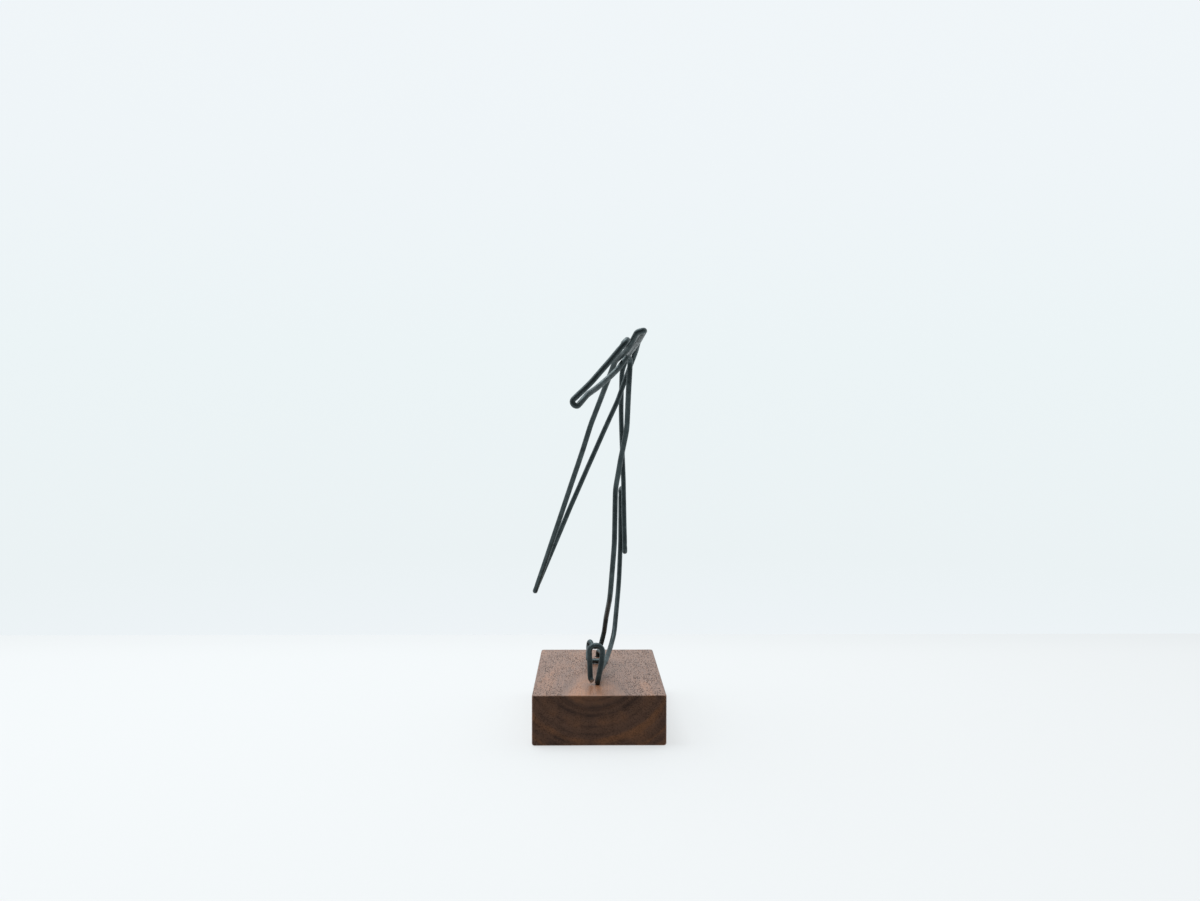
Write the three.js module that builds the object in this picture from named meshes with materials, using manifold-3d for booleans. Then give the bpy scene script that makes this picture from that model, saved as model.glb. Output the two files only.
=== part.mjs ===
// Bent wire figure on a small walnut block. Millimetres, +Z up, +X right, +Y away from the viewer.
// The origin is the centre of the block's underside.
import * as THREE from 'three';
import ManifoldModule from 'manifold-3d';

// ---- driving sizes -------------------------------------------------------------------------------
const BASE_W = 50.8; // 2 in wide
const BASE_L = 76.2; // 3 in front to back
const BASE_H = 19.05; // 3/4 in thick
const EDGE_R = 1.2; // sanded edges and corners
const EDGE_SEGMENTS = 24;

const WIRE_D = 2.1; // one length of soft steel wire, about 12 gauge
const WIRE_SIDES = 10;
const WIRE_R = WIRE_D / 2 / Math.cos(Math.PI / WIRE_SIDES); // so the flats lie near the real radius
const ARC_STEP = THREE.MathUtils.degToRad(20); // longest turn between two rings in a bend

const TOP = BASE_H; // the wood surface that the wire stands on
const LIE = TOP + WIRE_D / 2 + 0.1; // centre height of wire lying on the wood
const PEG = { x: 0.3, y: 24.4, r: WIRE_D / 2 + 0.35, depth: 6.5 }; // drilled hole for the back end
const SEAT = { x: -0.6, y: -22.4, r: 2.3, depth: 1.1 }; // shallow seat under the front bend

// ---- the wire's route ----------------------------------------------------------------------------
// One wire, from the end in the peg hole to the cut end of the front loop. Each row is a corner,
// [x, y, z, bend radius], in the order that the wire would be bent.
const BACK_FOOT = [
  [PEG.x, PEG.y, TOP - PEG.depth + 0.5, 0],
  [PEG.x, PEG.y, TOP + 2.9, 1.5], // rises out of the wood and hooks forward
  [2.2, 19.4, TOP + 2.4, 1.6],
  [2.3, 11.3, LIE, 1.8],
  [-4.2, 11.3, LIE, 2.0], // the bar that lies on the wood
  [-3.9, 20.4, TOP + 5.4, 1.2],
  [-3.5, 19.8, TOP + 8.5, 1.2], // heel
  [-2.2, 16.6, TOP + 6.0, 1.5],
  [1.2, 16.0, TOP + 6.3, 2.0], // ankle
];
const BACK_LEG = [
  [2.8, 15.0, 31.9, 4],
  [3.45, 4.0, 40.7, 10],
  [4.55, -17.0, 52.5, 9], // knee
  [6.1, -20.0, 74.1, 30],
  [6.5, -19.6, 95.8, 12], // hip
];
const SPINE = [
  [8.3, -24.0, 107.3, 20],
  [10.5, -29.0, 118.9, 30],
  [11.0, -35.0, 135.8, 20],
  [11.6, -37.2, 148.3, 2.2], // shoulder bend, over to the lower beak strand
];
const BEAK = [
  [7.2, -42.5, 141.9, 10],
  [4.3, -46.5, 138.8, 14],
  [-1.5, -56.0, 133.4, 16],
  [-4.6, -61.5, 131.0, 10],
  [-8.3, -66.6, 126.3, 1.25], // tip, a tight eye
  [-10.3, -66.6, 128.2, 1.25],
  [-3.6, -66.0, 134.6, 20],
  [3.0, -66.0, 142.2, 30],
  [9.2, -66.2, 149.7, 2.2], // crown, then straight back
];
const CROWN_LINK = [
  [8.3, -52.0, 149.8, 6],
  [10.4, -20.0, 151.6, 12],
  [12.6, -8.0, 154.4, 5],
  [16.6, -4.4, 156.6, 2],
];
const BACK_ARM = [
  [15.7, 4.3, 152.2, 6],
  [13.1, 6.4, 145.4, 20],
  [8.2, 7.4, 131.6, 30],
  [1.9, 8.8, 117.8, 30],
  [-11.8, 10.8, 86.4, 60],
  [-26.9, 13.0, 50.3, 1.6], // elbow tip, a narrow V seen on edge
];
const FRONT_ARM = [
  [-26.8, 9.7, 50.4, 1.6],
  [-7.3, -16.0, 108.3, 60],
  [-3.3, -20.0, 121.1, 25],
  [0.7, -24.4, 131.4, 20],
  [5.8, -38.5, 144.6, 5], // kink
  [10.1, -49.6, 147.9, 12],
];
const CREST = [
  [12.9, -57.0, 153.3, 1.35], // tight hairpin, nearest the viewer at the very top
  [15.6, -56.4, 154.0, 1.35],
  [14.6, -40.0, 152.3, 30],
  [12.4, 14.6, 150.7, 4], // far bend, then down
];
const TAIL = [
  [10.3, 17.0, 144.4, 12],
  [10.1, 20.0, 128.1, 40],
  [11.2, 20.0, 96.6, 60],
  [11.9, 20.0, 65.9, 1.65], // bottom of the tail, a hairpin seen on edge
  [12.0, 23.5, 65.9, 1.65],
  [11.4, 23.4, 93.7, 1.6], // top of the front leg
  [10.3, 26.7, 93.7, 1.6],
];
const FRONT_LEG = [
  [10.2, 25.4, 69.3, 60],
  [9.35, 23.0, 50.9, 30],
  [7.05, 12.0, 31.8, 14],
  [5.2, 5.0, 27.2, 14],
  [2.9, -5.4, 23.8, 14],
  [0.7, -12.6, 22.2, 14],
  [-0.7, -23.9, 19.3, 1.5], // front foot, bent up out of its seat
];
const FRONT_FOOT = [
  [1.2, -21.9, 28.4, 8],
  [1.75, -21.2, 34.0, 2.5], // top of the upright loop
  [-3.8, -21.0, 34.3, 2.4],
  [-3.5, -21.2, 26.0, 12],
  [-3.3, -22.0, 21.4, 1.4],
  [-2.45, -22.9, 20.3, 0], // cut end, tucked against the foot
];
const ROUTE = [
  ...BACK_FOOT, ...BACK_LEG, ...SPINE, ...BEAK, ...CROWN_LINK, ...BACK_ARM, ...FRONT_ARM,
  ...CREST, ...TAIL, ...FRONT_LEG, ...FRONT_FOOT,
];

// Points along the route: straight runs have only their ends, and each corner is a true arc.
function bentPath(corners) {
  const at = corners.map(([x, y, z]) => new THREE.Vector3(x, y, z));
  const used = new Array(corners.length).fill(0); // length that each corner's bend takes of its runs
  const out = [at[0].clone()];
  for (let i = 1; i < at.length - 1; i++) {
    const radius = corners[i][3];
    const before = at[i - 1].clone().sub(at[i]);
    const after = at[i + 1].clone().sub(at[i]);
    const room = Math.min(before.length() - used[i - 1], after.length());
    before.normalize();
    after.normalize();
    const turn = Math.PI - before.angleTo(after);
    const reach = radius * Math.tan(turn / 2);
    if (reach > room) {
      throw new Error(`bend ${i} of radius ${radius} needs ${reach.toFixed(2)} mm of ${room.toFixed(2)}`);
    }
    used[i] = reach;
    const middle = before.clone().add(after).normalize();
    const centre = at[i].clone().addScaledVector(middle, radius / Math.cos(turn / 2));
    const from = at[i].clone().addScaledVector(before, reach).sub(centre);
    const axis = from.clone().cross(before).normalize();
    const steps = Math.max(1, Math.ceil(turn / ARC_STEP));
    for (let k = 0; k <= steps; k++) {
      out.push(from.clone().applyAxisAngle(axis, -(turn * k) / steps).add(centre));
    }
  }
  out.push(at[at.length - 1].clone());
  return out;
}

// A curve through given points, with one ring of the tube at each point.
class PointPath extends THREE.Curve {
  constructor(points) {
    super();
    this.points = points;
  }

  getUtoTmapping(u) {
    return u;
  }

  getPoint(t, target = new THREE.Vector3()) {
    const last = this.points.length - 1;
    const place = THREE.MathUtils.clamp(t, 0, 1) * last;
    const i = Math.min(Math.floor(place), last - 1);
    return target.lerpVectors(this.points[i], this.points[i + 1], place - i);
  }

  getTangent(t, target = new THREE.Vector3()) {
    const last = this.points.length - 1;
    const i = Math.round(t * last);
    const here = this.points[i];
    const back = here.clone().sub(this.points[Math.max(i - 1, 0)]).normalize();
    const ahead = this.points[Math.min(i + 1, last)].clone().sub(here).normalize();
    return target.copy(back).add(ahead).normalize();
  }
}

function wireGeometry() {
  const path = new PointPath(bentPath(ROUTE));
  const section = new THREE.Shape();
  for (let k = 0; k < WIRE_SIDES; k++) {
    const a = (2 * Math.PI * k) / WIRE_SIDES;
    section[k ? 'lineTo' : 'moveTo'](WIRE_R * Math.cos(a), WIRE_R * Math.sin(a));
  }
  return new THREE.ExtrudeGeometry(section, {
    steps: path.points.length - 1,
    extrudePath: path,
    bevelEnabled: false,
  });
}

// ---- the block -----------------------------------------------------------------------------------
async function baseGeometry() {
  const wasm = await ManifoldModule();
  wasm.setup();
  const { Manifold } = wasm;
  const corners = [];
  for (const x of [-1, 1]) {
    for (const y of [-1, 1]) {
      for (const z of [EDGE_R, BASE_H - EDGE_R]) {
        corners.push(Manifold.sphere(EDGE_R, EDGE_SEGMENTS)
          .translate([x * (BASE_W / 2 - EDGE_R), y * (BASE_L / 2 - EDGE_R), z]));
      }
    }
  }
  let block = Manifold.hull(corners);
  for (const hole of [PEG, SEAT]) {
    block = block.subtract(Manifold.cylinder(hole.depth + 1, hole.r, hole.r, EDGE_SEGMENTS)
      .translate([hole.x, hole.y, TOP - hole.depth]));
  }
  const mesh = block.getMesh();
  const positions = [];
  for (const v of mesh.triVerts) {
    for (let k = 0; k < 3; k++) positions.push(mesh.vertProperties[v * mesh.numProp + k]);
  }
  const geometry = new THREE.BufferGeometry();
  geometry.setAttribute('position', new THREE.Float32BufferAttribute(positions, 3));
  geometry.computeVertexNormals();
  return geometry;
}

// ---- the object ----------------------------------------------------------------------------------
const blackened = new THREE.MeshStandardMaterial({ color: 0x33373a, roughness: 0.42, metalness: 0.7 });
const walnut = new THREE.MeshStandardMaterial({ color: 0x6b4a3a, roughness: 0.6, metalness: 0 });

const wire = new THREE.Mesh(wireGeometry(), blackened);
wire.name = 'wire_figure';
const base = new THREE.Mesh(await baseGeometry(), walnut);
base.name = 'walnut_base';

const sculpture = new THREE.Group();
sculpture.name = 'wire_sculpture';
sculpture.add(wire, base);
export default sculpture;
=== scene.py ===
"""A figure bent from one length of blackened wire, standing on a small walnut block."""

import math

import bmesh
import bpy
from mathutils import Matrix, Vector, noise


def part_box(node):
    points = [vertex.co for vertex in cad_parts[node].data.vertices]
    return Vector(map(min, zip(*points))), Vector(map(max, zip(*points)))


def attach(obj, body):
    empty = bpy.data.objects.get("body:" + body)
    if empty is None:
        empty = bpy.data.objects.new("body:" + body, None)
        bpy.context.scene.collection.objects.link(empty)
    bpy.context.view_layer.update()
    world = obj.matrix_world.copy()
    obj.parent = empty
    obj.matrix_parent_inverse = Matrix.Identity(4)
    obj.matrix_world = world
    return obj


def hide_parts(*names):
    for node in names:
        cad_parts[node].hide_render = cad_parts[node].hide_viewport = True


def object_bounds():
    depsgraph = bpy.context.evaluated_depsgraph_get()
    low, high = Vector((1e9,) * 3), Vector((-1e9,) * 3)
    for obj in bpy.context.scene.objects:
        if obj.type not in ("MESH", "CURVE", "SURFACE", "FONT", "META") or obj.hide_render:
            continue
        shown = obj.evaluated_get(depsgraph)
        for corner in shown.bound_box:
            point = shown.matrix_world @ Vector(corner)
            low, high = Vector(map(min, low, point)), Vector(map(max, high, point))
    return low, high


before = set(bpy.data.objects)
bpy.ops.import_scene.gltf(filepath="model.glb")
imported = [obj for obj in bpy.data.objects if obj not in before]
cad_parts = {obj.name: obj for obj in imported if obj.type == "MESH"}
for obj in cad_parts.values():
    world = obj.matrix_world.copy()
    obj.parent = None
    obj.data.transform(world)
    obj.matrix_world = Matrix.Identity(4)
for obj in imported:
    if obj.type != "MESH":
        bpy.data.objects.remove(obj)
CAD_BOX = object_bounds()
BLOCK_LOW, BLOCK_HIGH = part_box("walnut_base")

bl_info = {
    "name": "Bent Wire Figure",
    "version": (1, 0, 0),
    "blender": (4, 5, 0),
    "location": "3D View > Sidebar > Wire Figure",
    "description": "Adds a figure bent from one length of wire, on a walnut block",
    "category": "Add Mesh",
}

MM = 0.001
TOP = BLOCK_HIGH.z / MM  # the wood surface that the wire stands on
WIRE_D = 2.1
LIE = TOP + WIRE_D / 2 + 0.1  # centre height of wire lying on the wood
PEG_X, PEG_Y, PEG_DEPTH, PEG_R = 0.3, 24.4, 6.5, 1.35  # drilled hole for the back end
SEAT_CLEARANCE = 0.16  # between the wire and the notch that its front foot sits in


# ---- the wire's route -------------------------------------------------------------
# Millimetres. Each row is a corner, (x, y, z, bend radius), in the order of bending.

BACK_FOOT = (
    (PEG_X, PEG_Y, TOP - PEG_DEPTH + 0.5, 0),
    (PEG_X, PEG_Y, TOP + 2.9, 1.5),
    (2.2, 19.4, TOP + 2.4, 1.6),
    (2.3, 11.3, LIE, 1.8),
    (-4.2, 11.3, LIE, 2.0),
    (-3.9, 20.4, TOP + 5.4, 1.2),
    (-3.5, 19.8, TOP + 8.5, 1.2),
    (-2.2, 16.6, TOP + 6.0, 1.5),
    (1.2, 16.0, TOP + 6.3, 2.0),
)
BACK_LEG = (
    (2.8, 15.0, 31.9, 4),
    (3.45, 4.0, 40.7, 10),
    (4.55, -17.0, 52.5, 9),
    (6.1, -20.0, 74.1, 30),
    (6.5, -19.6, 95.8, 12),
)
SPINE = (
    (8.3, -24.0, 107.3, 20),
    (10.5, -29.0, 118.9, 30),
    (11.0, -35.0, 135.8, 20),
    (11.6, -37.2, 148.3, 2.2),
)
BEAK = (
    (7.2, -42.5, 141.9, 10),
    (4.3, -46.5, 138.8, 14),
    (-1.5, -56.0, 133.4, 16),
    (-4.6, -61.5, 131.0, 10),
    (-8.3, -66.6, 126.3, 1.25),
    (-10.3, -66.6, 128.2, 1.25),
    (-3.6, -66.0, 134.6, 20),
    (3.0, -66.0, 142.2, 30),
    (9.2, -66.2, 149.7, 2.2),
)
CROWN_LINK = (
    (8.3, -52.0, 149.8, 6),
    (10.4, -20.0, 151.6, 12),
    (12.6, -8.0, 154.4, 5),
    (16.6, -4.4, 156.6, 2),
)
BACK_ARM = (
    (15.7, 4.3, 152.2, 6),
    (13.1, 6.4, 145.4, 20),
    (8.2, 7.4, 131.6, 30),
    (1.9, 8.8, 117.8, 30),
    (-11.8, 10.8, 86.4, 60),
    (-26.9, 13.0, 50.3, 1.6),
)
FRONT_ARM = (
    (-26.8, 9.7, 50.4, 1.6),
    (-7.3, -16.0, 108.3, 60),
    (-3.3, -20.0, 121.1, 25),
    (0.7, -24.4, 131.4, 20),
    (5.8, -38.5, 144.6, 5),
    (10.1, -49.6, 147.9, 12),
)
CREST = (
    (12.9, -57.0, 153.3, 1.35),
    (15.6, -56.4, 154.0, 1.35),
    (14.6, -40.0, 152.3, 30),
    (12.4, 14.6, 150.7, 4),
)
TAIL = (
    (10.3, 17.0, 144.4, 12),
    (10.1, 20.0, 128.1, 40),
    (11.2, 20.0, 96.6, 60),
    (11.9, 20.0, 65.9, 1.65),
    (12.0, 23.5, 65.9, 1.65),
    (11.4, 23.4, 93.7, 1.6),
    (10.3, 26.7, 93.7, 1.6),
)
FRONT_LEG = (
    (10.2, 25.4, 69.3, 60),
    (9.35, 23.0, 50.9, 30),
    (7.05, 12.0, 31.8, 14),
    (5.2, 5.0, 27.2, 14),
    (2.9, -5.4, 23.8, 14),
    (0.7, -12.6, 22.2, 14),
    (-0.7, -23.9, 19.3, 1.5),
)
FRONT_FOOT = (
    (1.2, -21.9, 28.4, 8),
    (1.75, -21.2, 34.0, 2.5),
    (-3.8, -21.0, 34.3, 2.4),
    (-3.5, -21.2, 26.0, 12),
    (-3.3, -22.0, 21.4, 1.4),
    (-2.45, -22.9, 20.3, 0),
)
ROUTE = (
    BACK_FOOT + BACK_LEG + SPINE + BEAK + CROWN_LINK + BACK_ARM + FRONT_ARM
    + CREST + TAIL + FRONT_LEG + FRONT_FOOT
)
TIGHT = 2.6  # bends of a smaller radius were made round plier jaws

# how hand work marks the wire, in millimetres or as a share of its radius
BEND_SQUASH = 0.045  # flattening across a tight bend
JAW_DENT = 0.055  # depth of a plier mark
JAW_HALF = 1.05  # half the length of a plier mark
JAW_OFFSET = 1.3  # from the end of a bend to the mark beside it
SKIN_LUMPS = 0.008
NIP = 1.1  # length of the squeezed end
NIP_SHARE = 0.62  # how far the cutters squeezed it

# the walnut's growth, in millimetres; the heart of the tree lay above the front of
# the block and rises towards the back
HEART = (-1.0, -38.0, 34.7)
HEART_RISE = 0.148
TONGUE = (18.3, 20.6)  # ring where dense orange wood gives way to open, duller wood
TONGUE_LINE = 19.6
RICH_BAND = 32.0
YEAR = 3.6  # average growth in a year


def linear(hex_colour):
    """Turns an sRGB hex colour such as #6b4a3a into linear RGBA."""
    parts = [int(hex_colour[i:i + 2], 16) / 255 for i in (1, 3, 5)]
    return tuple(
        c / 12.92 if c <= 0.04045 else ((c + 0.055) / 1.055) ** 2.4 for c in parts
    ) + (1.0,)


# ---- sizes and colours a user may change ------------------------------------------


class WireSettings(bpy.types.PropertyGroup):
    diameter: bpy.props.FloatProperty(
        name="Diameter", description="Thickness of the wire",
        default=WIRE_D * MM, min=0.5 * MM, unit="LENGTH", precision=5,
    )
    sides: bpy.props.IntProperty(
        name="Sides", description="Faces around the wire", default=20, min=8, max=48,
    )
    wander: bpy.props.FloatProperty(
        name="Wander", description="How far hand bending strays from a true line",
        default=0.06 * MM, min=0.0, unit="LENGTH", precision=6,
    )
    oxide: bpy.props.FloatVectorProperty(
        name="Black oxide", description="Main colour of the dark skin",
        subtype="COLOR", size=4, default=linear("#354042"), min=0.0, max=1.0,
    )
    worn: bpy.props.FloatVectorProperty(
        name="Worn oxide", description="Colour where the skin has rubbed thinner",
        subtype="COLOR", size=4, default=linear("#566365"), min=0.0, max=1.0,
    )
    cut: bpy.props.FloatVectorProperty(
        name="Cut steel", description="Bare metal at the nipped end",
        subtype="COLOR", size=4, default=linear("#c4c6c4"), min=0.0, max=1.0,
    )


class BlockSettings(bpy.types.PropertyGroup):
    width: bpy.props.FloatProperty(
        name="Width", description="Side to side size of the block",
        default=BLOCK_HIGH.x - BLOCK_LOW.x, unit="LENGTH", precision=5,
    )
    length: bpy.props.FloatProperty(
        name="Length", description="Front to back size of the block",
        default=BLOCK_HIGH.y - BLOCK_LOW.y, unit="LENGTH", precision=5,
    )
    height: bpy.props.FloatProperty(
        name="Height", description="Thickness of the block",
        default=BLOCK_HIGH.z - BLOCK_LOW.z, unit="LENGTH", precision=5,
    )
    corner: bpy.props.FloatProperty(
        name="Corner radius", description="Rounding of the upright corners",
        default=1.2 * MM, unit="LENGTH", precision=5,
    )
    arris: bpy.props.FloatProperty(
        name="Top edge radius", description="Rounding sanded on the top edges",
        default=0.55 * MM, unit="LENGTH", precision=5,
    )
    heartwood: bpy.props.FloatVectorProperty(
        name="Heartwood", description="Main brown of the walnut",
        subtype="COLOR", size=4, default=linear("#6a4c3b"), min=0.0, max=1.0,
    )
    latewood: bpy.props.FloatVectorProperty(
        name="Latewood", description="Dark line that ends each year's growth",
        subtype="COLOR", size=4, default=linear("#3f2a20"), min=0.0, max=1.0,
    )
    flame: bpy.props.FloatVectorProperty(
        name="Flame", description="Orange brown bands in the heartwood",
        subtype="COLOR", size=4, default=linear("#865a3b"), min=0.0, max=1.0,
    )


class StageSettings(bpy.types.PropertyGroup):
    paper: bpy.props.FloatVectorProperty(
        name="Table paper", description="Colour of the surface under the block",
        subtype="COLOR", size=4, default=linear("#eef1f2"), min=0.0, max=1.0,
    )
    backdrop: bpy.props.FloatVectorProperty(
        name="Backdrop", description="Colour behind the table",
        subtype="COLOR", size=4, default=linear("#ebf2f4"), min=0.0, max=1.0,
    )
    overhead: bpy.props.FloatProperty(
        name="Overhead light", description="Power of the soft light above",
        default=3.0, min=0.0, unit="POWER",
    )
    key: bpy.props.FloatProperty(
        name="Key light", description="Power of the soft light at the upper left",
        default=0.5, min=0.0, unit="POWER",
    )


# ---- helpers ----------------------------------------------------------------------


def add_node(tree, kind, settings=None, inputs=None):
    """Adds a shader node, sets its options, and sets or links its inputs."""
    made = tree.nodes.new(kind)
    for name, value in (settings or {}).items():
        setattr(made, name, value)
    for name, value in (inputs or {}).items():
        if isinstance(value, bpy.types.NodeSocket):
            tree.links.new(value, made.inputs[name])
        else:
            made.inputs[name].default_value = value
    return made


def set_stops(ramp_node, stops):
    """Gives a colour ramp node its stops, each (place, colour)."""
    ramp = ramp_node.color_ramp
    while len(ramp.elements) < len(stops):
        ramp.elements.new(0.5)
    for element, (place, colour) in zip(ramp.elements, stops):
        element.position = place
        element.color = colour


def new_material(name):
    """An empty material's node tree with its output, and the material."""
    material = bpy.data.materials.new(name)
    material.use_nodes = True
    material.node_tree.nodes.clear()
    out = add_node(material.node_tree, "ShaderNodeOutputMaterial")
    return material, material.node_tree, out


def add_object(name, mesh, material):
    """Puts a mesh in the scene with its material."""
    made = bpy.data.objects.new(name, mesh)
    mesh.materials.append(material)
    bpy.context.scene.collection.objects.link(made)
    return made


# ---- the wire ---------------------------------------------------------------------


def bent_path(corners, arc_step=math.radians(7), run_step=1.4):
    """Points along the route as (place, radius of the bend or 0, way to its centre).

    Straight runs join true arcs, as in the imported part, with closer points.
    """
    at = [Vector(corner[:3]) for corner in corners]
    out = [(at[0], 0.0, Vector())]

    def run_to(end, radius, inward):
        start = out[-1][0]
        steps = max(1, math.ceil((end - start).length / run_step))
        out.extend(
            (start.lerp(end, k / steps), 0.0, Vector()) for k in range(1, steps)
        )
        out.append((end, radius, inward))

    for i in range(1, len(at) - 1):
        radius = corners[i][3]
        before = (at[i - 1] - at[i]).normalized()
        after = (at[i + 1] - at[i]).normalized()
        turn = math.pi - before.angle(after)
        reach = radius * math.tan(turn / 2)
        middle = (before + after).normalized()
        centre = at[i] + middle * (radius / math.cos(turn / 2))
        start = at[i] + before * reach - centre
        axis = start.cross(before).normalized()
        steps = max(1, math.ceil(turn / arc_step))
        run_to(start + centre, radius, -start.normalized())
        for k in range(1, steps + 1):
            spoke = Matrix.Rotation(-turn * k / steps, 3, axis) @ start
            out.append((spoke + centre, radius, -spoke.normalized()))
    run_to(at[-1], 0.0, Vector())
    return out


def lengths_along(path):
    """Distance of each point of a path from its start."""
    out = [0.0]
    for (a, *_), (b, *_) in zip(path, path[1:]):
        out.append(out[-1] + (b - a).length)
    return out


def plier_marks(path, along):
    """Where jaws gripped the wire beside each tight bend, as (distance, way pressed)."""
    marks, i = [], 0
    while i < len(path):
        if 0 < path[i][1] < TIGHT:
            j = i
            while j + 1 < len(path) and path[j + 1][1] == path[i][1]:
                j += 1
            if along[j] - along[i] > 1.6:
                for end, sign in ((i, -1), (j, 1)):
                    heading = (path[end][0] - path[end - 1][0]).normalized()
                    side = heading.cross(path[end][2]).normalized()
                    marks.append((along[end] + sign * JAW_OFFSET, side))
            i = j
        i += 1
    return marks


def smooth(x):
    """0 to 1 with level ends."""
    x = min(1.0, max(0.0, x))
    return x * x * (3 - 2 * x)


def frames_along(points):
    """Heading, side and upright way at each point, turning as little as possible."""
    headings = []
    for i in range(len(points)):
        back = points[i] - points[max(i - 1, 0)]
        ahead = points[min(i + 1, len(points) - 1)] - points[i]
        headings.append((back.normalized() + ahead.normalized()).normalized())
    side = headings[0].orthogonal().normalized()
    out, last = [], headings[0]
    for heading in headings:
        side = last.rotation_difference(heading) @ side
        side = (side - heading * side.dot(heading)).normalized()
        out.append((heading, side, heading.cross(side)))
        last = heading
    return out


def wire_mesh(settings):
    """Sweeps the wire, flattened in its bends, dented by pliers, nipped at the end."""
    noise.seed_set(7)  # without a seed, noise_vector takes one from the clock
    path = bent_path(ROUTE)
    along = lengths_along(path)
    marks = plier_marks(path, along)
    radius = settings.diameter / 2 / MM
    wander = settings.wander / MM
    sides, whole = settings.sides, along[-1]
    places = []
    for (place, _, _), s in zip(path, along):
        free = smooth((s - 8) / 10) * smooth((whole - s) / 14)
        stray = noise.noise_vector(Vector((s / 17, 3.1, 7.7)))
        places.append(place + stray * wander * free)

    bm = bmesh.new()
    drawn = bm.verts.layers.float_vector.new("drawn")
    bare = bm.verts.layers.float.new("bare")
    rings = []
    for (_, bend, inward), s, place, (heading, side, up) in zip(
        path, along, places, frames_along(places)
    ):
        squash = BEND_SQUASH * smooth((3.2 - bend) / 2) if bend else 0.0
        jaws = [
            (way, JAW_DENT * smooth(1.5 - abs(s - centre) / 0.7))
            for centre, way in marks
            if abs(s - centre) < JAW_HALF
        ]
        pinch = smooth((s - whole + NIP) / NIP)
        ring = []
        for k in range(sides):
            a = 2 * math.pi * k / sides
            out = side * math.cos(a) + up * math.sin(a)
            r = radius
            if squash:
                in_line = out.dot(inward) ** 2
                r *= 1 - squash * in_line + squash * 0.5 * (1 - in_line)
            for way, depth in jaws:
                r -= depth * smooth((abs(out.dot(way)) - 0.62) / 0.38)
            r += SKIN_LUMPS * noise.noise(Vector((out.x * 1.5, out.y * 1.5, s / 2.5)))
            offset = out * r
            # the last millimetre is squeezed to the ridge that side cutters leave
            offset -= side * offset.dot(side) * NIP_SHARE * pinch
            v = bm.verts.new((place + offset) * MM)
            v[drawn] = Vector((math.cos(a), math.sin(a), s))
            v[bare] = smooth((s - whole + 0.75) / 0.5)
            ring.append(v)
        rings.append(ring)
    for ring, after in zip(rings, rings[1:]):
        for k in range(sides):
            n = (k + 1) % sides
            bm.faces.new((ring[k], ring[n], after[n], after[k])).smooth = True
    for ring, turn in ((rings[0], -1), (rings[-1], 1)):
        cap = bm.faces.new(ring[::turn])
        cap.smooth = False
    bmesh.ops.recalc_face_normals(bm, faces=bm.faces)
    mesh = bpy.data.meshes.new("wire")
    bm.to_mesh(mesh)
    bm.free()
    return mesh


def blackened_steel(settings):
    """Annealed steel wire with its black oxide left on and waxed.

    The eye gets a dark blue grey metal with soft, wide highlights, cloudy where the
    oxide is thinner, and fine lines along it from the drawing die.
    """
    material, tree, out = new_material("blackened annealed steel wire")
    drawn = add_node(tree, "ShaderNodeAttribute", {"attribute_name": "drawn"})
    bare = add_node(tree, "ShaderNodeAttribute", {"attribute_name": "bare"})
    object_mm = add_node(
        tree, "ShaderNodeVectorMath", {"operation": "SCALE"},
        {0: add_node(tree, "ShaderNodeTexCoord").outputs["Object"], "Scale": 1 / MM},
    ).outputs[0]

    # clouds in the oxide, about 3 mm across
    clouds = add_node(
        tree, "ShaderNodeTexNoise", None,
        {"Vector": object_mm, "Scale": 0.33, "Detail": 4.0, "Roughness": 0.6},
    ).outputs["Fac"]
    # scale speckle, 0.3 mm
    speckle = add_node(
        tree, "ShaderNodeTexNoise", None,
        {"Vector": object_mm, "Scale": 3.3, "Detail": 2.0, "Roughness": 0.5},
    ).outputs["Fac"]
    # die lines run the length of the wire; drawn 0.15 mm wide so that they show
    stretched = add_node(
        tree, "ShaderNodeVectorMath", {"operation": "MULTIPLY"},
        {0: drawn.outputs["Vector"], 1: (7.0, 7.0, 0.12)},
    ).outputs[0]
    lines = add_node(
        tree, "ShaderNodeTexNoise", None,
        {"Vector": stretched, "Scale": 1.0, "Detail": 2.0, "Roughness": 0.55},
    ).outputs["Fac"]

    wear = add_node(
        tree, "ShaderNodeMapRange", None,
        {"Value": clouds, "From Min": 0.4, "From Max": 0.75, "To Min": 0.1, "To Max": 0.8},
    ).outputs["Result"]
    wear = add_node(
        tree, "ShaderNodeMath", {"operation": "MULTIPLY_ADD", "use_clamp": True},
        {0: speckle, 1: 0.3, 2: wear},
    ).outputs[0]
    wear = add_node(
        tree, "ShaderNodeMath", {"operation": "SUBTRACT", "use_clamp": True},
        {0: wear, 1: 0.15},
    ).outputs[0]
    skin = add_node(
        tree, "ShaderNodeMix", {"data_type": "RGBA"},
        {"Factor": wear, 6: tuple(settings.oxide), 7: tuple(settings.worn)},
    ).outputs[2]
    colour = add_node(
        tree, "ShaderNodeMix", {"data_type": "RGBA"},
        {"Factor": bare.outputs["Fac"], 6: skin, 7: tuple(settings.cut)},
    ).outputs[2]
    rough = add_node(
        tree, "ShaderNodeMapRange", None,
        {"Value": clouds, "From Min": 0.3, "From Max": 0.75, "To Min": 0.52, "To Max": 0.42},
    ).outputs["Result"]
    relief = add_node(
        tree, "ShaderNodeMath", {"operation": "MULTIPLY_ADD"},
        {0: lines, 1: 1.2, 2: speckle},
    ).outputs[0]
    bump = add_node(
        tree, "ShaderNodeBump", None,
        {"Strength": 0.2, "Distance": 0.006 * MM, "Height": relief},
    ).outputs["Normal"]
    shader = add_node(
        tree, "ShaderNodeBsdfPrincipled", None,
        {"Base Color": colour, "Roughness": rough, "Metallic": 0.72, "Normal": bump},
    )
    tree.links.new(shader.outputs[0], out.inputs["Surface"])
    return material


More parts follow.
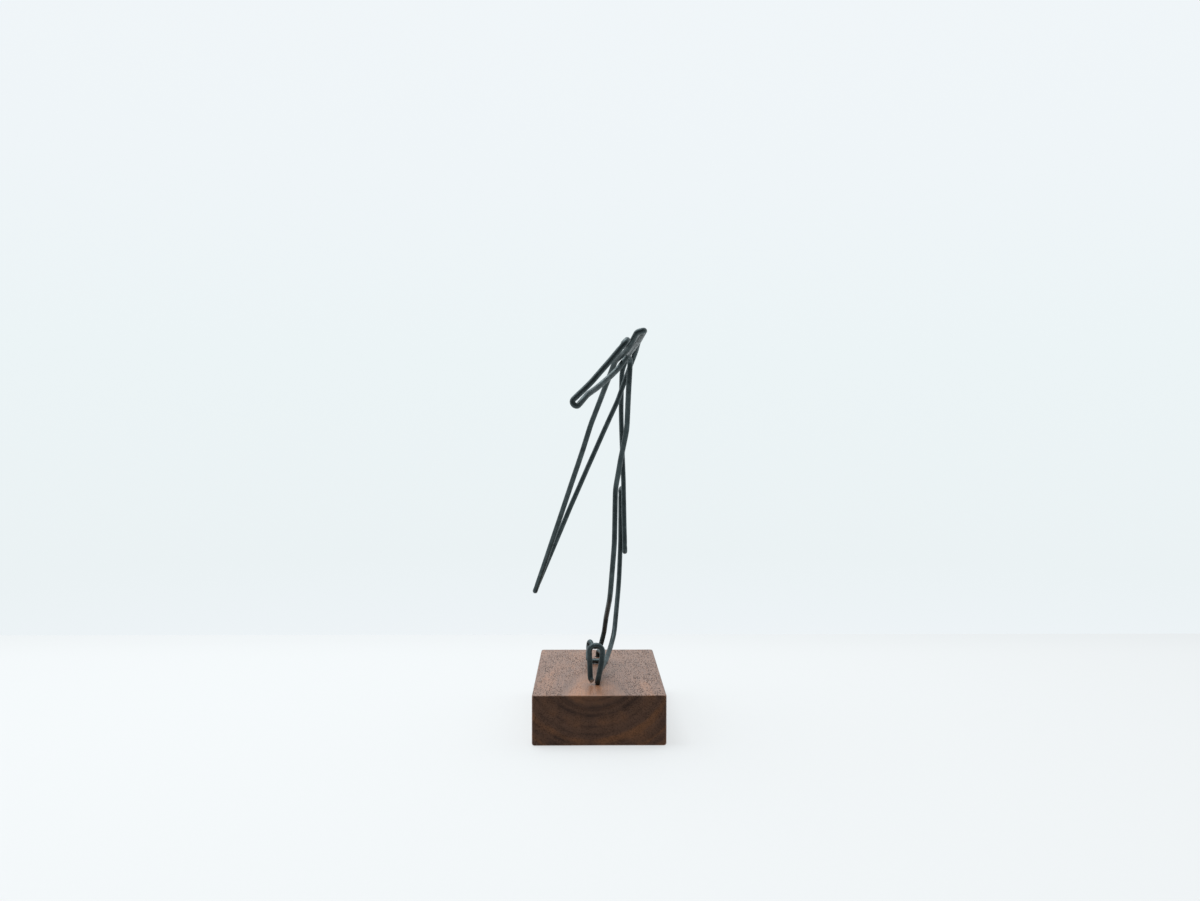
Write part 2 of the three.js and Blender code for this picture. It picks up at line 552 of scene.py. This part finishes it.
class ADD_OT_bent_wire(bpy.types.Operator):
    """Bend the whole figure from one length of wire"""

    bl_idname = "sculpture.bent_wire"
    bl_label = "Bent Wire"

    def execute(self, context):
        settings = context.scene.bent_wire
        if settings.diameter > 2.12 * MM:
            raise ValueError("a thicker wire would run into itself where it crosses")
        wire = add_object("bent_wire", wire_mesh(settings), blackened_steel(settings))
        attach(wire, "root")
        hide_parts("wire_figure")
        return {"FINISHED"}


# ---- the block --------------------------------------------------------------------


def rounded_outline(half_x, half_y, radius, steps=7):
    """Corners of a rounded rectangle, anticlockwise."""
    out = []
    for i, (sx, sy) in enumerate(((1, 1), (-1, 1), (-1, -1), (1, -1))):
        for k in range(steps + 1):
            a = math.pi / 2 * (i + k / steps)
            out.append((
                sx * (half_x - radius) + radius * math.cos(a),
                sy * (half_y - radius) + radius * math.sin(a),
            ))
    return out


def block_mesh(settings):
    """The block as stacked outlines, its edges sanded by hand and not quite even."""
    half_x = settings.width / 2 / MM
    half_y = settings.length / 2 / MM
    height = settings.height / MM
    corner, arris = settings.corner / MM, settings.arris / MM
    foot = arris * 1.5
    # (inset, height, share of the sanding), with a flat rim inside each sanded edge
    levels = [(foot + 0.8, 0.0, 0.0)]
    for k in range(6):
        a = math.pi / 2 * k / 5
        levels.append((foot * (1 - math.sin(a)), foot * (1 - math.cos(a)), 0.4))
    levels += [(0.0, height * share, 0.0) for share in (0.3, 0.5, 0.7)]
    for k in range(6):
        a = math.pi / 2 * k / 5
        drop = arris * (1 - math.sin(a))
        levels.append((arris * (1 - math.cos(a)), height - drop, 1.0))
    levels.append((arris + 0.8, height, 0.0))

    bm = bmesh.new()
    rings = []
    for inset, z, sanding in levels:
        ring = []
        outline = rounded_outline(half_x - inset, half_y - inset, max(0.1, corner - inset))
        for x, y in refined(outline):
            uneven = 0.09 * (0.5 + noise.noise(Vector((x / 9, y / 9, 2.0)))) * sanding
            pull = 1 - uneven * inset / max(arris, 0.01) / 25
            ring.append(bm.verts.new((x * pull * MM, y * pull * MM, z * MM)))
        rings.append(ring)
    for ring, above in zip(rings, rings[1:]):
        for k in range(len(ring)):
            n = (k + 1) % len(ring)
            bm.faces.new((ring[k], ring[n], above[n], above[k])).smooth = True
    bm.faces.new(rings[0][::-1])
    bm.faces.new(rings[-1])
    mesh = bpy.data.meshes.new("block")
    bm.to_mesh(mesh)
    bm.free()
    return mesh


def refined(outline, pieces=14):
    """An outline with each of its straight sides split into this many pieces."""
    out = []
    for (ax, ay), (bx, by) in zip(outline, outline[1:] + outline[:1]):
        steps = pieces if math.hypot(bx - ax, by - ay) > 5 else 1
        out += [
            (ax + (bx - ax) * k / steps, ay + (by - ay) * k / steps) for k in range(steps)
        ]
    return out


def lathe_cutter(x, y, profile, sides=40):
    """A turned cutter standing at a point, from (radius, height) pairs, low to high."""
    bm = bmesh.new()
    rings = []
    for r, z in profile:
        rings.append([
            bm.verts.new((
                (x + r * math.cos(2 * math.pi * k / sides)) * MM,
                (y + r * math.sin(2 * math.pi * k / sides)) * MM,
                z * MM,
            ))
            for k in range(sides)
        ])
    for ring, above in zip(rings, rings[1:]):
        for k in range(sides):
            n = (k + 1) % sides
            bm.faces.new((ring[k], ring[n], above[n], above[k]))
    bm.faces.new(rings[0][::-1])
    bm.faces.new(rings[-1])
    mesh = bpy.data.meshes.new("cutter")
    bm.to_mesh(mesh)
    bm.free()
    return mesh


def seat_cutter():
    """A fatter copy of the wire's front foot, which carves the notch that it sits in."""
    low = [
        place for place, _, _ in bent_path(ROUTE, math.radians(12))
        if place.z < TOP + 1.6 and place.y < -14
    ]
    bm = bmesh.new()
    for place in low:
        bmesh.ops.create_icosphere(
            bm, subdivisions=3, radius=(WIRE_D / 2 + SEAT_CLEARANCE) * MM,
            matrix=Matrix.Translation(place * MM),
        )
    mesh = bpy.data.meshes.new("cutter")
    bm.to_mesh(mesh)
    bm.free()
    return mesh


def cut_away(piece, cutter_mesh):
    """Takes a cutter's shape out of a piece, and leaves nothing else behind."""
    cutter = bpy.data.objects.new("cutter", cutter_mesh)
    bpy.context.scene.collection.objects.link(cutter)
    carve = piece.modifiers.new("carve", "BOOLEAN")
    carve.operation, carve.solver, carve.object = "DIFFERENCE", "EXACT", cutter
    carve.use_self = True
    graph = bpy.context.evaluated_depsgraph_get()
    carved = bpy.data.meshes.new_from_object(piece.evaluated_get(graph))
    piece.modifiers.remove(carve)
    old = piece.data
    piece.data = carved
    bpy.data.meshes.remove(old)
    bpy.data.objects.remove(cutter)
    bpy.data.meshes.remove(cutter_mesh)


def oiled_walnut(settings, end_grain):
    """Black walnut heartwood, sawn, sanded and oiled, as long grain or end grain.

    The eye gets growth rings as one solid pattern: a tongue and flames on the top,
    hanging arcs on the ends, short dark pores along the grain, and a satin sheen.
    The ends drink the oil, so they are darker and nearly matt; beyond that, the ends' colour is
    darkened as painted shade and the long grain's, the top with it, brightened as painted
    light.
    """
    name = "oiled black walnut, end grain" if end_grain else "oiled black walnut, long grain"
    material, tree, out = new_material(name)
    object_mm = add_node(
        tree, "ShaderNodeVectorMath", {"operation": "SCALE"},
        {0: add_node(tree, "ShaderNodeTexCoord").outputs["Object"], "Scale": 1 / MM},
    ).outputs[0]

    # the rings wander by a few millimetres, 15 mm across the grain and 48 mm along it
    place = add_node(
        tree, "ShaderNodeVectorMath", {"operation": "MULTIPLY"},
        {0: object_mm, 1: (1 / 15, 1 / 48, 1 / 15)},
    ).outputs[0]
    wave = add_node(
        tree, "ShaderNodeTexNoise", None,
        {"Vector": place, "Scale": 1.0, "Detail": 3.0, "Roughness": 0.5},
    ).outputs["Color"]
    wave = add_node(
        tree, "ShaderNodeVectorMath", {"operation": "MULTIPLY_ADD"},
        {0: wave, 1: (2.6, 0.0, 2.6), 2: object_mm},
    ).outputs[0]
    from_heart = add_node(
        tree, "ShaderNodeVectorMath", {"operation": "SUBTRACT"},
        {0: wave, 1: HEART},
    ).outputs[0]
    parts = add_node(tree, "ShaderNodeSeparateXYZ", None, {0: from_heart}).outputs
    drop = add_node(
        tree, "ShaderNodeMath", {"operation": "MULTIPLY_ADD"},
        {0: parts["Y"], 1: -HEART_RISE, 2: parts["Z"]},
    ).outputs[0]
    across = add_node(tree, "ShaderNodeCombineXYZ", None, {0: parts["X"], 2: drop}).outputs[0]
    depth = add_node(
        tree, "ShaderNodeVectorMath", {"operation": "LENGTH"}, {0: across}
    ).outputs["Value"]
    outer = add_node(
        tree, "ShaderNodeMapRange", {"interpolation_type": "SMOOTHSTEP"},
        {"Value": depth, "From Min": TONGUE[0], "From Max": TONGUE[1]},
    ).outputs["Result"]
    # a thin dark line follows the ring where the tongue ends
    line = add_node(
        tree, "ShaderNodeMath", {"operation": "SUBTRACT"}, {0: depth, 1: TONGUE_LINE}
    ).outputs[0]
    line = add_node(tree, "ShaderNodeMath", {"operation": "ABSOLUTE"}, {0: line}).outputs[0]
    line = add_node(
        tree, "ShaderNodeMapRange", {"interpolation_type": "SMOOTHSTEP"},
        {"Value": line, "From Min": 0.1, "From Max": 1.1, "To Min": 0.5, "To Max": 0.0},
    ).outputs["Result"]
    # one richer band of years hangs low across the ends
    band = add_node(
        tree, "ShaderNodeMath", {"operation": "SUBTRACT"}, {0: depth, 1: RICH_BAND}
    ).outputs[0]
    band = add_node(tree, "ShaderNodeMath", {"operation": "ABSOLUTE"}, {0: band}).outputs[0]
    band = add_node(
        tree, "ShaderNodeMapRange", {"interpolation_type": "SMOOTHSTEP"},
        {
            "Value": band, "From Min": 0.3, "From Max": 2.6,
            "To Min": 0.3 if end_grain else 0.0, "To Max": 0.0,
        },
    ).outputs["Result"]

    # no two years of growth are alike
    uneven = add_node(
        tree, "ShaderNodeTexNoise", {"noise_dimensions": "1D"},
        {"W": depth, "Scale": 0.22, "Detail": 1.0},
    ).outputs["Fac"]
    radius = add_node(
        tree, "ShaderNodeMath", {"operation": "MULTIPLY_ADD"}, {0: uneven, 1: 5.0, 2: depth}
    ).outputs[0]
    year = add_node(
        tree, "ShaderNodeMath", {"operation": "DIVIDE"}, {0: radius, 1: YEAR}
    ).outputs[0]
    year = add_node(tree, "ShaderNodeMath", {"operation": "FRACT"}, {0: year}).outputs[0]
    rings = add_node(tree, "ShaderNodeValToRGB", None, {"Fac": year})
    set_stops(rings, (
        (0.0, (0.3, 0.3, 0.3, 1)), (0.2, (0.1, 0.1, 0.1, 1)),
        (0.55, (0.15, 0.15, 0.15, 1)), (0.85, (0.5, 0.5, 0.5, 1)),
        (0.95, (0.55, 0.55, 0.55, 1)), (1.0, (0.3, 0.3, 0.3, 1)),
    ))
    # spells of several years, richer or duller
    spell = add_node(
        tree, "ShaderNodeTexNoise", {"noise_dimensions": "1D"},
        {"W": radius, "Scale": 0.17, "Detail": 2.0, "Roughness": 0.6},
    ).outputs["Fac"]
    spell = add_node(
        tree, "ShaderNodeMath", {"operation": "MULTIPLY"}, {0: spell, 1: 1.1}
    ).outputs[0]

    # patches 11 mm across and 40 mm long
    place = add_node(
        tree, "ShaderNodeVectorMath", {"operation": "MULTIPLY"},
        {0: object_mm, 1: (1 / 11, 1 / 40, 1 / 11)},
    ).outputs[0]
    broad = add_node(
        tree, "ShaderNodeTexNoise", None,
        {"Vector": place, "Scale": 1.0, "Detail": 3.0, "Roughness": 0.55},
    ).outputs["Fac"]
    orange = add_node(
        tree, "ShaderNodeMath", {"operation": "MULTIPLY_ADD"}, {0: broad, 1: 0.9, 2: spell}
    ).outputs[0]
    orange = add_node(
        tree, "ShaderNodeMath", {"operation": "ADD"}, {0: orange, 1: band}
    ).outputs[0]
    orange = add_node(
        tree, "ShaderNodeMath", {"operation": "MULTIPLY_ADD"}, {0: outer, 1: -0.2, 2: orange}
    ).outputs[0]
    orange = add_node(
        tree, "ShaderNodeMapRange", {"interpolation_type": "SMOOTHSTEP"},
        {"Value": orange, "From Min": 0.78, "From Max": 1.2},
    ).outputs["Result"]
    brown = add_node(
        tree, "ShaderNodeMix", {"data_type": "RGBA"},
        {"Factor": orange, 6: tuple(settings.heartwood), 7: tuple(settings.flame)},
    ).outputs[2]

    patch = add_node(
        tree, "ShaderNodeMapRange", None,
        {"Value": broad, "From Min": 0.35, "From Max": 0.6, "To Min": 1.3, "To Max": 0.35},
    ).outputs["Result"]
    streaked = add_node(
        tree, "ShaderNodeMath", {"operation": "MULTIPLY"},
        {0: rings.outputs["Color"], 1: 1.35 if end_grain else 0.45},
    ).outputs[0]
    streaked = add_node(
        tree, "ShaderNodeMath", {"operation": "MULTIPLY_ADD", "use_clamp": True},
        {0: streaked, 1: patch, 2: line},
    ).outputs[0]
    brown = add_node(
        tree, "ShaderNodeMix", {"data_type": "RGBA"},
        {"Factor": streaked, 6: brown, 7: tuple(settings.latewood)},
    ).outputs[2]

    # fibres 0.35 mm wide and 9 mm long
    place = add_node(
        tree, "ShaderNodeVectorMath", {"operation": "MULTIPLY"},
        {0: object_mm, 1: (1 / 0.35, 1 / 9, 1 / 0.35)},
    ).outputs[0]
    fibre = add_node(
        tree, "ShaderNodeTexNoise", None,
        {"Vector": place, "Scale": 1.0, "Detail": 2.0, "Roughness": 0.6},
    ).outputs["Fac"]
    fibre_shade = add_node(
        tree, "ShaderNodeMapRange", None,
        {"Value": fibre, "From Min": 0.3, "From Max": 0.7, "To Min": 0.78, "To Max": 1.2},
    ).outputs["Result"]
    brown = add_node(
        tree, "ShaderNodeVectorMath", {"operation": "SCALE"},
        {0: brown, "Scale": fibre_shade},
    ).outputs[0]

    # pores are 0.2 mm across in real walnut and are drawn 0.4 mm wide so that they show
    place = add_node(
        tree, "ShaderNodeVectorMath", {"operation": "MULTIPLY"},
        {0: object_mm, 1: (1 / 0.5, 1 / 1.5, 1 / 0.5)},
    ).outputs[0]
    cells = add_node(
        tree, "ShaderNodeTexVoronoi", {"feature": "F1"},
        {"Vector": place, "Scale": 1.0, "Randomness": 1.0},
    )
    place = add_node(
        tree, "ShaderNodeVectorMath", {"operation": "MULTIPLY"},
        {0: object_mm, 1: (1 / 6, 1 / 14, 1 / 6)},
    ).outputs[0]
    crowd = add_node(
        tree, "ShaderNodeTexNoise", None, {"Vector": place, "Scale": 1.0, "Detail": 2.0},
    ).outputs["Fac"]
    size = add_node(
        tree, "ShaderNodeMapRange", None,
        {"Value": crowd, "From Min": 0.34, "From Max": 0.62, "To Min": 0.33, "To Max": 0.44},
    ).outputs["Result"]
    # more of them outside the tongue, and fewer late in each year
    early = add_node(
        tree, "ShaderNodeMath", {"operation": "MULTIPLY_ADD"}, {0: outer, 1: 0.32, 2: 0.8}
    ).outputs[0]
    early = add_node(
        tree, "ShaderNodeMath", {"operation": "MULTIPLY_ADD"}, {0: year, 1: -0.2, 2: early}
    ).outputs[0]
    size = add_node(
        tree, "ShaderNodeMath", {"operation": "MULTIPLY"}, {0: size, 1: early}
    ).outputs[0]
    pores = add_node(
        tree, "ShaderNodeMath", {"operation": "SUBTRACT"},
        {0: size, 1: cells.outputs["Distance"]},
    ).outputs[0]
    pores = add_node(
        tree, "ShaderNodeMath", {"operation": "MULTIPLY", "use_clamp": True}, {0: pores, 1: 7.0}
    ).outputs[0]
    stain = add_node(
        tree, "ShaderNodeMath", {"operation": "MULTIPLY"},
        {0: pores, 1: 0.35 if end_grain else 0.74},
    ).outputs[0]
    colour = add_node(
        tree, "ShaderNodeMix", {"data_type": "RGBA"},
        {"Factor": stain, 6: brown, 7: linear("#1d1613")},
    ).outputs[2]

    # painted light and shade: long grain, the top with it, is brightened for the light that
    # falls on it, and end grain is darkened for the shade on the front and back
    shade = 0.7 if end_grain else 1.34
    colour = add_node(
        tree, "ShaderNodeVectorMath", {"operation": "SCALE"}, {0: colour, "Scale": shade},
    ).outputs[0]
    relief = add_node(
        tree, "ShaderNodeMath", {"operation": "MULTIPLY"}, {0: fibre, 1: 0.35}
    ).outputs[0]
    relief = add_node(
        tree, "ShaderNodeMath", {"operation": "SUBTRACT"}, {0: relief, 1: pores}
    ).outputs[0]
    bump = add_node(
        tree, "ShaderNodeBump", None,
        {"Strength": 0.9, "Distance": 0.13 * MM, "Height": relief},
    ).outputs["Normal"]
    rough = add_node(
        tree, "ShaderNodeMath", {"operation": "MULTIPLY_ADD", "use_clamp": True},
        {0: pores, 1: 0.35, 2: 0.62 if end_grain else 0.42},
    ).outputs[0]
    shader = add_node(
        tree, "ShaderNodeBsdfPrincipled", None,
        {
            "Base Color": colour, "Roughness": rough, "Normal": bump, "IOR": 1.5,
            "Specular IOR Level": 0.2 if end_grain else 0.5,
        },
    )
    tree.links.new(shader.outputs[0], out.inputs["Surface"])
    return material


class ADD_OT_walnut_block(bpy.types.Operator):
    """Add the walnut block with its peg hole and the notch for the front foot"""

    bl_idname = "sculpture.walnut_block"
    bl_label = "Walnut Block"

    def execute(self, context):
        settings = context.scene.walnut_block
        block = add_object(
            "walnut_block", block_mesh(settings), oiled_walnut(settings, end_grain=False)
        )
        top = settings.height / MM
        cut_away(block, lathe_cutter(PEG_X, PEG_Y, (
            (PEG_R, top - PEG_DEPTH), (PEG_R, top - 0.22), (PEG_R + 0.32, top + 0.1),
        )))
        cut_away(block, seat_cutter())
        if len(block.data.polygons) < 200:
            raise RuntimeError("the hole and the notch weren't cut into the block")
        block.data.materials.append(oiled_walnut(settings, end_grain=True))
        for face in block.data.polygons:
            on_end = abs(face.center.y) > settings.length / 2 - settings.corner
            face.material_index = int(on_end and abs(face.normal.y) > 0.7)
        block.data.shade_smooth()
        block.data.set_sharp_from_angle(angle=math.radians(38))
        for face in block.data.polygons:  # sawn faces stay dead flat
            if max(abs(part) for part in face.normal) > 0.9999:
                face.use_smooth = False
        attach(block, "root")
        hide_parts("walnut_base")
        return {"FINISHED"}


# ---- floor, light and camera ------------------------------------------------------


def matt_paper(settings):
    """Smooth white paper that glows as painted light, so it is nearly shadowless, with no
    shine.
    """
    material, tree, out = new_material("matt white paper with painted glow")
    # painted shade: the glow dims a little towards the sheet's back edge
    place = add_node(
        tree, "ShaderNodeSeparateXYZ", None,
        {0: add_node(tree, "ShaderNodeTexCoord").outputs["Object"]},
    ).outputs["Y"]
    painted_dimming = add_node(
        tree, "ShaderNodeMapRange", {"interpolation_type": "SMOOTHSTEP"},
        {"Value": place, "From Min": 0.1, "From Max": 0.17, "To Min": 0.675, "To Max": 0.64},
    ).outputs["Result"]
    # painted light: the paper glows though it is no lamp, washing out the shadows on it and
    # lighting the block
    painted_glow = add_node(
        tree, "ShaderNodeEmission", None,
        {"Color": tuple(settings.paper), "Strength": painted_dimming},
    ).outputs[0]
    sheet = add_node(
        tree, "ShaderNodeBsdfDiffuse", None,
        {"Color": tuple(c * 0.28 for c in settings.paper[:3]) + (1.0,)},
    ).outputs[0]
    both = add_node(tree, "ShaderNodeAddShader", None, {0: painted_glow, 1: sheet}).outputs[0]
    tree.links.new(both, out.inputs["Surface"])
    return material


def light_the_world(settings):
    """Pale all round to look at; as light, bright above and behind, dim in front."""
    world = bpy.data.worlds.new("soft studio")
    world.use_nodes = True
    tree = world.node_tree
    tree.nodes.clear()
    way = add_node(tree, "ShaderNodeTexCoord").outputs["Generated"]
    parts = add_node(tree, "ShaderNodeSeparateXYZ", None, {0: way}).outputs
    rise = add_node(
        tree, "ShaderNodeMapRange", None,
        {"Value": parts["Z"], "From Min": -0.25, "From Max": 0.5},
    ).outputs["Result"]
    seen = add_node(tree, "ShaderNodeValToRGB", None, {"Fac": rise})
    set_stops(seen, (
        (0.03, linear("#eff4f7")), (0.09, linear("#edf3f6")), (0.17, tuple(settings.backdrop)),
        (0.45, linear("#ecf4f6")), (0.68, linear("#eff5f8")), (1.0, linear("#f1f6f9")),
    ))
    seen = seen.outputs["Color"]
    behind = add_node(
        tree, "ShaderNodeMapRange", {"interpolation_type": "SMOOTHSTEP"},
        {
            "Value": parts["Y"], "From Min": -0.45, "From Max": 0.4,
            "To Min": 0.09, "To Max": 1.15,
        },
    ).outputs["Result"]
    above = add_node(
        tree, "ShaderNodeMapRange", {"interpolation_type": "SMOOTHSTEP"},
        {"Value": parts["Z"], "From Min": 0.35, "From Max": 0.95, "To Min": 0.0, "To Max": 0.5},
    ).outputs["Result"]
    strength = add_node(
        tree, "ShaderNodeMath", {"operation": "ADD"}, {0: behind, 1: above}
    ).outputs[0]
    lit = add_node(
        tree, "ShaderNodeBackground", None,
        {"Color": linear("#f6fafc"), "Strength": strength},
    ).outputs[0]
    shown = add_node(
        tree, "ShaderNodeBackground", None, {"Color": seen, "Strength": 1.0}
    ).outputs[0]
    camera_ray = add_node(tree, "ShaderNodeLightPath").outputs["Is Camera Ray"]
    both = add_node(
        tree, "ShaderNodeMixShader", None, {0: camera_ray, 1: lit, 2: shown}
    ).outputs[0]
    out = add_node(tree, "ShaderNodeOutputWorld")
    tree.links.new(both, out.inputs["Surface"])
    bpy.context.scene.world = world


def add_soft_light(name, place, aim, size, power, colour):
    """A large soft light at a place, facing a point."""
    data = bpy.data.lights.new(name, "AREA")
    data.shape, data.size, data.size_y = "RECTANGLE", *size
    data.energy, data.color = power, colour[:3]
    lamp = bpy.data.objects.new(name, data)
    lamp.location = place
    lamp.rotation_euler = (Vector(aim) - Vector(place)).to_track_quat("-Z", "Y").to_euler()
    bpy.context.scene.collection.objects.link(lamp)


def add_camera():
    """A wide lens close to the piece, a little above its middle, nearly level."""
    yaw, pitch, roll = (math.radians(v) for v in (0.83, -0.71, 0.09))
    ahead = Vector((
        math.sin(yaw) * math.cos(pitch), math.cos(yaw) * math.cos(pitch), math.sin(pitch)
    ))
    right = Vector((math.cos(yaw), -math.sin(yaw), 0))
    up = right.cross(ahead)
    right, up = (
        right * math.cos(roll) + up * math.sin(roll),
        up * math.cos(roll) - right * math.sin(roll),
    )
    data = bpy.data.cameras.new("camera")
    data.sensor_width, data.lens = 36.0, 27.67
    data.clip_start = 0.01
    camera = bpy.data.objects.new("camera", data)
    turn = Matrix((right, up, -ahead)).transposed().to_4x4()
    camera.matrix_world = Matrix.Translation(Vector((-4.9, -383.4, 115.4)) * MM) @ turn
    bpy.context.scene.collection.objects.link(camera)
    bpy.context.scene.camera = camera


class ADD_OT_sculpture_stage(bpy.types.Operator):
    """Add the pale table, the soft light round it and the camera"""

    bl_idname = "sculpture.stage"
    bl_label = "Stage"

    def execute(self, context):
        settings = context.scene.sculpture_stage
        bm = bmesh.new()
        side, front, back = 450 * MM, -270 * MM, 160 * MM
        corners = ((-side, front), (side, front), (side, back), (-side, back))
        bm.faces.new([bm.verts.new((x, y, BLOCK_LOW.z)) for x, y in corners])
        mesh = bpy.data.meshes.new("table")
        bm.to_mesh(mesh)
        bm.free()
        add_object("table", mesh, matt_paper(settings))
        light_the_world(settings)
        middle = (CAD_BOX[0] + CAD_BOX[1]) / 2
        add_soft_light(
            "overhead", (-0.16, 0.04, 0.72), middle, (0.5, 0.4),
            settings.overhead, linear("#fbfdff"),
        )
        add_soft_light(
            "key", (-0.5, 0.02, 0.5), middle, (0.3, 0.3),
            settings.key, linear("#fbfdff"),
        )
        add_camera()
        context.scene.view_settings.view_transform = "Standard"
        return {"FINISHED"}


# ---- panel and registration -------------------------------------------------------


class VIEW3D_PT_wire_figure(bpy.types.Panel):
    bl_label = "Wire Figure"
    bl_space_type = "VIEW_3D"
    bl_region_type = "UI"
    bl_category = "Wire Figure"

    def draw(self, context):
        for operator, settings in (
            (ADD_OT_bent_wire, context.scene.bent_wire),
            (ADD_OT_walnut_block, context.scene.walnut_block),
            (ADD_OT_sculpture_stage, context.scene.sculpture_stage),
        ):
            box = self.layout.box()
            for name in settings.bl_rna.properties.keys():
                if name not in {"rna_type", "name"}:
                    box.prop(settings, name)
            box.operator(operator.bl_idname)


CLASSES = (
    WireSettings, BlockSettings, StageSettings, ADD_OT_bent_wire,
    ADD_OT_walnut_block, ADD_OT_sculpture_stage, VIEW3D_PT_wire_figure,
)
SETTINGS = {
    "bent_wire": WireSettings,
    "walnut_block": BlockSettings,
    "sculpture_stage": StageSettings,
}


def register():
    for cls in CLASSES:
        bpy.utils.register_class(cls)
    for name, group in SETTINGS.items():
        setattr(bpy.types.Scene, name, bpy.props.PointerProperty(type=group))


def unregister():
    for name in SETTINGS:
        delattr(bpy.types.Scene, name)
    for cls in reversed(CLASSES):
        bpy.utils.unregister_class(cls)


def main():
    register()
    bpy.ops.sculpture.walnut_block()
    bpy.ops.sculpture.bent_wire()
    bpy.ops.sculpture.stage()


if __name__ == "__main__":
    main()
